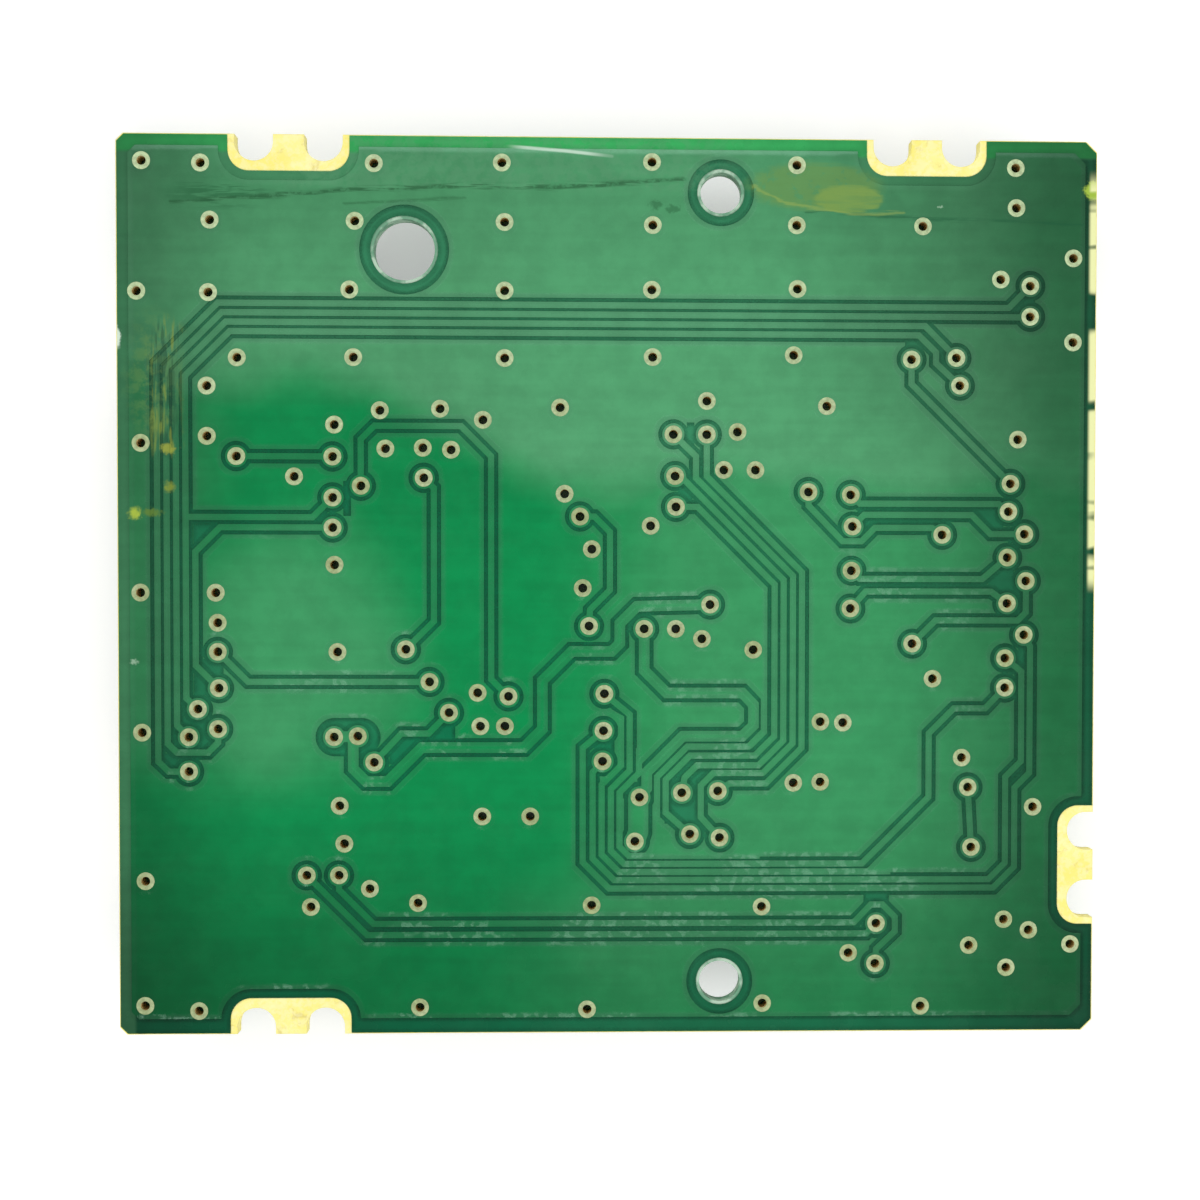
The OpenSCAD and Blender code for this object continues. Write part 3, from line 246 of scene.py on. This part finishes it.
# ---- Solder mask ------------------------------------------------------------------------------
def wear(m, x, y, colour):
    """Scratches, smears and residue on the mask. Returns the colour and where the gloss is dulled."""
    rag = m.noise(1.8, 3.0, 0.7, shift=11.0)
    fine = m.noise(6.0, 2.0, 0.7, shift=13.0)
    drawn = m.noise(1.6, 3.0, 0.6, stretch=(0.22, 2.4, 1.0), shift=15.0)
    xs = x + (rag - 0.5) * 0.6
    yr = y + (fine - 0.5) * 0.5
    here = m.flat(x, y)
    ragged = m.flat(x + (rag - 0.5) * 1.2, yr)
    drawn_out = m.flat(xs, y + (drawn - 0.5) * 0.55)
    hung_out = m.flat(xs, yr)
    patchy = rag.ramp(0.42, 0.56)

    # A dull film above a long smeared line near the top edge
    film = y.ramp(46.3, 46.9) * x.ramp(8.0, 10.0) * x.ramp(31.0, 36.0, 1.0, 0.0) * 0.22
    colour = m.mix(film * patchy, colour, srgb(96, 150, 112))
    long_line = [(3.0, 45.75), (12.5, 46.5), (18.5, 46.75), (24.0, 46.75), (31.0, 47.2)]
    smear = stroke(m, drawn_out, long_line, 0.06, 0.2)
    second = stroke(m, drawn_out, [(12.5, 45.75), (16.4, 45.95), (19.0, 46.15)], 0.03, 0.16) * 0.6
    smear = smear.max(second)
    colour = m.mix(smear * drawn.ramp(0.36, 0.5) * rag.ramp(0.36, 0.52, 0.3, 0.7), colour, srgb(18, 78, 40))
    scuffs = blob(m, drawn_out, 5.6, 46.3, 3.6, 1.1, 0.3) * drawn.ramp(0.5, 0.58)
    colour = m.mix(scuffs * 0.5, colour, srgb(22, 84, 48))
    marks = blob(m, ragged, 29.5, 45.8, 0.5, 0.35).max(blob(m, ragged, 30.4, 45.6, 0.4, 0.3)) * 0.5
    colour = m.mix(marks, colour, srgb(34, 88, 52))
    line = stroke(m, drawn_out, [(37.8, 45.5), (44.0, 45.2), (53.3, 44.95)], 0.04, 0.14)
    colour = m.mix(line * drawn.ramp(0.36, 0.52) * 0.5, colour, srgb(24, 84, 54))

    # Dried yellow-green residue right of the upper small hole
    spill = blob(m, drawn_out, 38.3, 46.9, 4.2, 1.5, 0.7) * rag.ramp(0.34, 0.5, 0.45, 1.0)
    bright = blob(m, drawn_out, 40.2, 46.2, 2.1, 0.85, 0.8)
    colour = m.mix(spill * 0.5, colour, srgb(108, 142, 62))
    colour = m.mix(bright * drawn.ramp(0.3, 0.6, 0.45, 0.8), colour, srgb(122, 154, 74))
    spots = stroke(m, drawn_out, [(34.9, 46.9), (36.6, 46.0), (40.5, 45.35), (43.2, 45.5)], 0.03, 0.12)
    colour = m.mix(spots * 0.4, colour, srgb(150, 172, 84))

    # Glue and dark blotches over the left bus
    hung = m.noise(1.3, 2.0, 0.65, stretch=(2.2, 0.3, 1.0), shift=17.0)
    haze = blob(m, ragged, 2.1, 36.2, 2.0, 4.6, 0.3) * rag.ramp(0.38, 0.6)
    colour = m.mix(haze * 0.4, colour, srgb(96, 136, 74))
    strip = stroke(m, hung_out, [(2.75, 38.6), (2.55, 37.0), (2.6, 32.6)], 0.7, 0.8)
    colour = m.mix(strip * hung.ramp(0.48, 0.6) * 0.55, colour, srgb(128, 146, 56))
    colour = m.mix(strip * hung.ramp(0.46, 0.36) * 0.5, colour, srgb(16, 64, 44))
    for cx, cy, rx, ry, tint in (
            (2.8, 32.3, 0.5, 0.4, (150, 160, 60)), (2.8, 30.2, 0.45, 0.4, (132, 148, 56)),
            (1.9, 28.8, 0.6, 0.3, (96, 128, 52)), (0.95, 28.75, 0.5, 0.45, (178, 196, 66))):
        colour = m.mix(blob(m, ragged, cx, cy, rx, ry, 0.3) * 0.8, colour, srgb(*tint))

    # Scratches and chips
    cut = stroke(m, here, [(21.1, 48.97), (24.5, 48.72), (27.1, 48.45)], 0.07, 0.1)
    cut = cut * x.ramp(21.1, 22.5) * x.ramp(25.5, 27.1, 1.0, 0.2)
    colour = m.mix(cut * 0.85, colour, srgb(196, 222, 202))
    for cx, cy, r in ((45.35, 45.85, 0.09), (0.9, 20.6, 0.2)):
        colour = m.mix(blob(m, ragged, cx, cy, r * 2.2, r, 0.3) * 0.6, colour, srgb(166, 198, 170))
    chip = blob(m, ragged, 53.9, 46.8, 0.75, 0.65, 0.6).max(blob(m, drawn_out, 0.0, 38.4, 0.28, 0.8, 0.5))
    colour = m.mix(chip, colour, m.mix(x.ramp(1.0, 2.0), srgb(206, 226, 208), srgb(158, 188, 66)))

    # The upper right edge, where the mask is broken and the laminate shows
    broken = x.ramp(53.5, 53.72) * y.ramp(24.4, 25.4) * y.ramp(46.6, 48.0, 1.0, 0.0)
    flakes = m.noise(0.55, 2.0, 0.5, stretch=(0.2, 1, 1), shift=16.0).ramp(0.46, 0.53)
    colour = m.mix(broken * flakes, colour, srgb(236, 240, 176))
    dull = film.max(smear).max(spill).max(strip).max(cut).max(chip)
    return colour, dull


def solder_mask():
    m = Mat("solder_mask", rough=0.22)
    x, y, z = m.xyz()
    wobble = m.noise(0.12, 2.0, shift=3.0) - 0.5
    xw, yw = x + wobble * 6.0, y + (m.noise(0.1, 2.0, shift=9.0) - 0.5) * 6.0
    here, wobbly = m.flat(x, y), m.flat(xw, yw)

    # Painted reflection: the mask is painted paler where a soft glossy reflection lies on it, at the top,
    # the right half and a patch on the left
    top = (yw + xw.ramp(13.0, 27.0, 0.0, 6.5)).ramp(34.0, 38.6)
    right = (xw + yw.ramp(6.0, 12.0, 5.0, 0.0)).ramp(22.5, 33.0) * yw.ramp(28.0, 36.0, 0.48, 0.72)
    left = blob(m, wobbly, 9.0, 20.5, 9.5, 9.5, 0.25) * 0.55
    side = xw.ramp(2.5, 7.0, 0.5, 0.0) * yw.ramp(12.0, 20.0)
    painted_sheen = top.max(right).max(left).max(side)
    painted_sheen = painted_sheen * xw.ramp(46.0, 53.0, 1.0, 0.6) * yw.ramp(0.0, 9.0, 0.5, 1.0)
    # Painted shade: the colour is darkened towards the left, right, bottom and top edges, and somewhat in
    # the upper left and upper right
    painted_shade = (x.ramp(0.0, 9.0, 0.6, 1.06) * x.ramp(40.0, 53.0, 1.0, 0.5)
           * y.ramp(2.0, 15.0, x.ramp(6.0, 30.0, 0.53, 0.68), 0.97) * y.ramp(40.0, 47.0, 1.0, 0.86))
    painted_shade = painted_shade * (x.ramp(17.0, 26.0, 1.0, 0.0) * y.ramp(25.0, 31.0)).ramp(0.0, 1.0, 1.0, 0.9)
    painted_shade = painted_shade * (x.ramp(34.0, 43.0) * y.ramp(29.0, 38.0)).ramp(0.0, 1.0, 1.0, 0.8)

    # Steps of the foil under the mask: the normal leans away from them, and only near them. From that lean,
    # painted shade is put on the low side of each step, a painted highlight on its high side and painted
    # shade right at its wall
    lean = m.split(m.bevel(0.34, 4))
    step = (lean[0] * lean[0] + lean[1] * lean[1]).op("SQRT")
    # A painted lit band along the top edge, and painted reflection by the upper tabs and along the left
    # edge: there the step shade and highlight are weakened and the open laminate is painted lighter
    top_edge = y.ramp(BOARD_H - 1.1, BOARD_H - 0.85)
    upper_left, upper_right = [blob(m, here, cx, BOARD_H, 5.4, 4.4, 0.85) for cx in (9.4, 44.5)]
    tabs = upper_left.max(upper_right) * y.ramp(BOARD_H - 0.9, BOARD_H - 0.7, 1.0, 0.0)
    tabs = tabs.max(x.ramp(0.75, 1.0, 1.0, 0.0))
    lit_rim = top_edge.max(tabs)
    # Painted shade on the low side of each step, a painted highlight on its high side and painted shade
    # right at its wall
    shade = step.ramp(0.02, 0.34) * lit_rim.ramp(0.0, 1.0, 1.0, 0.25)
    edge_highlight = step.ramp(0.03, 0.36) * tabs.ramp(0.0, 1.0, 1.0, 0.15)
    brink_shade = step.ramp(0.34, 0.5) * lit_rim.ramp(0.0, 1.0, 0.72, 0.0)

    # Where the painted reflection lies, the mixes below take their paler second colour
    open_laminate = m.mix(painted_sheen, srgb(0, 112, 72), srgb(50, 130, 90))
    open_laminate = m.mix(lit_rim, open_laminate, m.mix(top_edge, srgb(74, 150, 102), srgb(58, 176, 96)))
    over_laminate = m.mix(shade, open_laminate, m.mix(painted_sheen, srgb(0, 36, 20), srgb(0, 42, 24)))
    plane = m.mix(painted_sheen, srgb(0, 134, 72), srgb(78, 154, 105))
    over_copper = m.mix(edge_highlight * 0.95, plane, m.mix(painted_sheen, srgb(88, 166, 124), srgb(142, 204, 168)))
    over_copper = m.mix(brink_shade, over_copper, srgb(4, 76, 46))
    film = z.ramp(FOIL_TOP / MM + 0.006, TOP_Z / MM - 0.006)
    colour = m.mix(film, over_laminate, over_copper)
    mottle = m.noise(0.7, 3.0, 0.6, shift=1.0).ramp(0.3, 0.7, 0.93, 1.06)
    streak = m.noise(0.5, 2.0, 0.5, stretch=(0.15, 3.0, 1.0), shift=5.0).ramp(0.35, 0.65, 0.97, 1.03)
    # The painted shade, random mottling and streaks scale the colour
    colour = m.scale(colour, painted_shade * mottle * streak)

    # Glints where the mask rounds down over a foil's lower edge, in the lower half
    dots = m.noise(2.4, 1.0, 0.5, shift=21.0).ramp(0.48, 0.62, 0.12, 1.0)
    fields = m.noise(0.35, 2.0, stretch=(0.7, 1.0, 1.0), shift=23.0).ramp(0.4, 0.5)
    glint = lean[1].ramp(0.14, 0.38) * lean[0].abs().ramp(0.12, 0.36, 1.0, 0.0)
    glint = glint * film * dots * fields
    glint = glint * yw.ramp(24.0, 28.0, 1.0, 0.0) * x.ramp(44.0, 49.0, 1.0, 0.15)
    colour = m.mix(glint * 0.62, colour, srgb(178, 222, 200))

    m.bsdf.inputs["Specular IOR Level"].default_value = 0.22
    gloss = m.noise(0.35, 3.0, 0.65, shift=2.0).ramp(0.3, 0.75, 0.16, 0.38)
    orange_peel = m.noise(1.1, 1.0, 0.6, shift=4.0)
    worn_colour, dull = wear(m, x, y, colour)
    m.base(worn_colour)
    m.rough(gloss + dull * 0.3)
    m.normal(m.bump(orange_peel, 0.25, 0.03))
    between = x.op("GREATER_THAN", CLEAN_LEFT).min(x.op("LESS_THAN", CLEAN_RIGHT))
    clean = y.op("LESS_THAN", CLEAN_TOP).min(between)
    m.second(clean, colour, gloss)
    return m


def mask_front():
    m = Mat("solder_mask_front", rough=0.3)
    mottle = m.noise(0.7, 4.0, 0.6, shift=1.0).ramp(0.3, 0.7, 0.9, 1.1)
    m.base(m.scale(srgb(22, 112, 66)[:3], mottle))
    m.rough(m.noise(0.35, 5.0, 0.65, 1.5, shift=2.0).ramp(0.3, 0.75, 0.2, 0.42))
    m.normal(m.bump(m.noise(2.2, 2.0, shift=4.0), 0.25, 0.02, m.bevel(0.04)))
    return m


# ---- Laminate, copper and tin -----------------------------------------------------------------
def laminate():
    m = Mat("laminate", rough=0.62)
    x, y, _ = m.xyz()
    weave_x = (x * (2 * math.pi / WEAVE)).op("SINE")
    weave_y = (y * (2 * math.pi / WEAVE)).op("SINE")
    weave = weave_x * weave_y
    tone = m.noise(0.5, 4.0, 0.6, shift=3.0).ramp(0.3, 0.7)
    colour = m.mix(tone, srgb(250, 237, 122), srgb(255, 246, 156))
    scorch = m.noise(1.3, 4.0, 0.7, 0.6, shift=8.0).ramp(0.56, 0.74) * 0.45
    colour = m.mix(scorch, colour, srgb(196, 172, 92))
    fibre = m.noise(3.0, 3.0, 0.6, stretch=(1, 1, 9), shift=2.0).ramp(0.4, 0.62)
    colour = m.mix(fibre * 0.25, colour, srgb(255, 252, 226))
    here = m.flat(x, y)
    first, second, third = [blob(m, here, cx, cy, r, r, 0.9) for cx, cy, r in HOLES]
    hole = first.max(second).max(third)
    rubbed = m.noise(0.9, 3.0, 0.6, shift=12.0).ramp(0.4, 0.6)
    colour = m.mix(hole, colour, m.mix(rubbed, srgb(104, 156, 124), srgb(176, 204, 180)))
    m.base(colour)
    m.rough(m.noise(2.5, 3.0).ramp(0.3, 0.7, 0.5, 0.75))
    m.normal(m.bump(weave * 0.5 + fibre, 0.35, 0.03, m.bevel(0.05)))
    return m


def copper():
    m = Mat("copper", rough=0.4, metal=1.0)
    tone = m.noise(1.5, 4.0).ramp(0.3, 0.7)
    m.base(m.mix(tone, srgb(184, 115, 80), srgb(214, 148, 108)))
    m.rough(m.noise(4.0, 3.0, shift=2.0).ramp(0.3, 0.7, 0.3, 0.5))
    m.normal(m.bump(m.noise(9.0, 2.0), 0.2, 0.01))
    return m


def tin(name, low, high, rough_low, rough_high, metal, bump=0.25):
    m = Mat(name, metal=metal)
    tone = m.noise(1.6, 4.0, 0.6, shift=1.0).ramp(0.32, 0.68)
    fine = m.noise(7.0, 3.0, 0.6, shift=4.0).ramp(0.4, 0.6, 0.9, 1.08)
    m.base(m.scale(m.mix(tone, srgb(*low), srgb(*high)), fine))
    m.rough(m.noise(3.0, 4.0, 0.6, shift=7.0).ramp(0.3, 0.7, rough_low, rough_high))
    m.normal(m.bump(m.noise(6.0, 3.0, shift=5.0), bump, 0.02, m.bevel(0.04)))
    return m


def via_rings():
    m = Mat("tinned_ring", metal=0.35)
    _, y, z = m.xyz()
    tone = m.noise(0.5, 3.0, 0.6, shift=1.0).ramp(0.35, 0.65)
    fine = m.noise(5.0, 3.0, 0.6, shift=4.0).ramp(0.35, 0.65, 0.84, 1.1)
    ring = m.mix(tone, srgb(172, 188, 136), srgb(192, 206, 160))
    # Painted reflection: the rings are painted lighter towards the top of the board
    ring = m.mix(y.ramp(28.0, 42.0) * 0.6, ring, srgb(212, 236, 188))
    face = z.ramp(TOP_Z / MM - 0.06, TOP_Z / MM - 0.02)
    # Painted shade: each ring is darkened near its rims, where the bevel normal leans
    lean = m.split(m.bevel(0.16, 4))
    brink_shade = (lean[0] * lean[0] + lean[1] * lean[1]).op("SQRT").ramp(0.1, 0.6)
    ring = m.mix(brink_shade * 0.55, m.scale(ring, fine), srgb(132, 140, 92))
    m.base(m.mix(face, srgb(226, 206, 150), ring))
    m.rough(m.noise(4.0, 3.0, shift=2.0).ramp(0.3, 0.7, 0.38, 0.6))
    m.normal(m.bump(m.noise(6.0, 3.0, shift=5.0), 0.3, 0.02))
    return m


# ---- Component side ---------------------------------------------------------------------------
def moulded(name, low, high, rough_low, rough_high, grain=6.0, bump=0.3, speckle=0.12):
    m = Mat(name)
    tone = m.noise(0.8, 4.0, 0.6, shift=1.0).ramp(0.3, 0.7)
    speck = m.noise(grain, 3.0, 0.7, shift=4.0).ramp(0.35, 0.65, 1 - speckle, 1 + speckle)
    m.base(m.scale(m.mix(tone, srgb(*low), srgb(*high)), speck))
    m.rough(m.noise(2.0, 4.0, 0.6, shift=3.0).ramp(0.3, 0.7, rough_low, rough_high))
    m.normal(m.bump(m.noise(grain, 2.0, shift=6.0), bump, 0.02, m.bevel(0.06)))
    return m


materials = {
    "laminate": laminate(),
    "copper": copper(),
    "tinned_ring": via_rings(),
    "solder_mask": solder_mask(),
    "solder": tin("solder", (178, 180, 178), (206, 207, 204), 0.25, 0.45, 0.9),
    "chip_resin": moulded("chip_resin", (34, 34, 36), (46, 46, 48), 0.5, 0.72),
    "tinned_lead": tin("tinned_lead", (176, 177, 176), (204, 204, 200), 0.25, 0.42, 1.0),
    "tinned_pin": tin("tinned_pin", (186, 184, 176), (212, 210, 200), 0.2, 0.38, 1.0),
    "header_nylon": moulded("header_nylon", (226, 220, 200), (240, 236, 220), 0.4, 0.6, 3.0, 0.2, 0.03),
    "ferrite": moulded("ferrite", (52, 52, 55), (70, 70, 73), 0.55, 0.78, 4.0, 0.4),
    "enamelled_wire": moulded("enamelled_wire", (142, 74, 38), (176, 96, 52), 0.22, 0.35, 2.0, 0.2),
    "crystal_ceramic": moulded("crystal_ceramic", (96, 76, 58), (118, 96, 74), 0.5, 0.7),
    "crystal_lid": tin("crystal_lid", (186, 184, 178), (214, 212, 206), 0.22, 0.36, 1.0, 0.15),
    "tantalum_resin": moulded("tantalum_resin", (214, 158, 52), (232, 180, 74), 0.42, 0.6),
    "capacitor_ceramic": moulded("capacitor_ceramic", (182, 150, 112), (204, 172, 134), 0.4, 0.6),
    "resistor_glaze": moulded("resistor_glaze", (30, 30, 34), (44, 44, 50), 0.2, 0.38),
}
slot_of = {s["node"]: s["material_slot"] for s in frame["record"]["subparts"]}
front = mask_front()
for name, obj in frame["nodes"].items():
    chosen = materials[slot_of[name]]
    if name == "solder_mask_front":
        chosen = front
    obj.data.materials.clear()
    obj.data.materials.append(chosen.m)


# ---- Floor, light and camera ------------------------------------------------------------------
def floor():
    mesh = bpy.data.meshes.new("floor")
    r = FLOOR_REACH
    mesh.from_pydata([(-r, -r, 0), (r, -r, 0), (r, r, 0), (-r, r, 0)], [], [(0, 1, 2, 3)])
    o = bpy.data.objects.new("floor", mesh)
    bpy.context.scene.collection.objects.link(o)
    m = bpy.data.materials.new("floor")
    m.use_nodes = True
    t = m.node_tree
    bsdf = t.nodes["Principled BSDF"]
    bsdf.inputs["Base Color"].default_value = (0.86, 0.86, 0.86, 1)
    bsdf.inputs["Roughness"].default_value = 0.9
    bsdf.inputs["Emission Color"].default_value = (1, 1, 1, 1)
    path = t.nodes.new("ShaderNodeLightPath")
    seen = t.nodes.new("ShaderNodeMath")
    seen.operation = "MAXIMUM"
    t.links.new(path.outputs["Is Camera Ray"], seen.inputs[0])
    t.links.new(path.outputs["Is Glossy Ray"], seen.inputs[1])
    glow = t.nodes.new("ShaderNodeMath")
    glow.operation = "MULTIPLY"
    glow.inputs[1].default_value = FLOOR_GLOW
    t.links.new(seen.outputs[0], glow.inputs[0])
    t.links.new(glow.outputs[0], bsdf.inputs["Emission Strength"])
    mesh.materials.append(m)
    o.location.z = cad_box[0][2] - FLOOR_GAP


def area_lamp(name, size, power, place, aim=(0, 0, 0)):
    d = bpy.data.lights.new(name, "AREA")
    d.shape, d.size, d.energy = "SQUARE", size, power
    o = bpy.data.objects.new(name, d)
    o.location = place
    o.rotation_euler = (Vector(aim) - Vector(place)).to_track_quat("-Z", "Y").to_euler()
    bpy.context.scene.collection.objects.link(o)


def world():
    w = bpy.data.worlds.new("world")
    bpy.context.scene.world = w
    w.use_nodes = True
    b = w.node_tree.nodes["Background"]
    b.inputs[0].default_value = (1, 1, 1, 1)
    path = w.node_tree.nodes.new("ShaderNodeLightPath")
    level = w.node_tree.nodes.new("ShaderNodeMapRange")
    level.inputs["To Min"].default_value = SKY_LIGHT
    level.inputs["To Max"].default_value = SKY_SEEN
    w.node_tree.links.new(path.outputs["Is Camera Ray"], level.inputs["Value"])
    w.node_tree.links.new(level.outputs[0], b.inputs[1])


def camera():
    d = bpy.data.cameras.new("camera")
    o = bpy.data.objects.new("camera", d)
    bpy.context.scene.collection.objects.link(o)
    d.sensor_width = SENSOR_MM
    d.lens = FOCAL_PIXELS * SENSOR_MM / PHOTO_PIXELS
    d.shift_x, d.shift_y = -0.1012, 0.0717
    d.clip_start, d.clip_end = 0.005, 10.0
    o.matrix_world = Matrix((
        (0.99901, -0.00063, -0.04440, -0.00050),
        (0.00215, 0.99941, 0.03422, -0.00031),
        (0.04435, -0.03429, 0.99843, 0.15543),
        (0, 0, 0, 1)))
    bpy.context.scene.camera = o


floor()
world()
area_lamp("key", 0.25, 1.05, (-0.25, 0.28, 0.30))
area_lamp("fill", 0.30, 0.75, (0.30, -0.12, 0.28))
area_lamp("back", 0.25, 0.5, (0.05, -0.32, 0.26))
camera()
bpy.context.scene.view_settings.view_transform = "Standard"
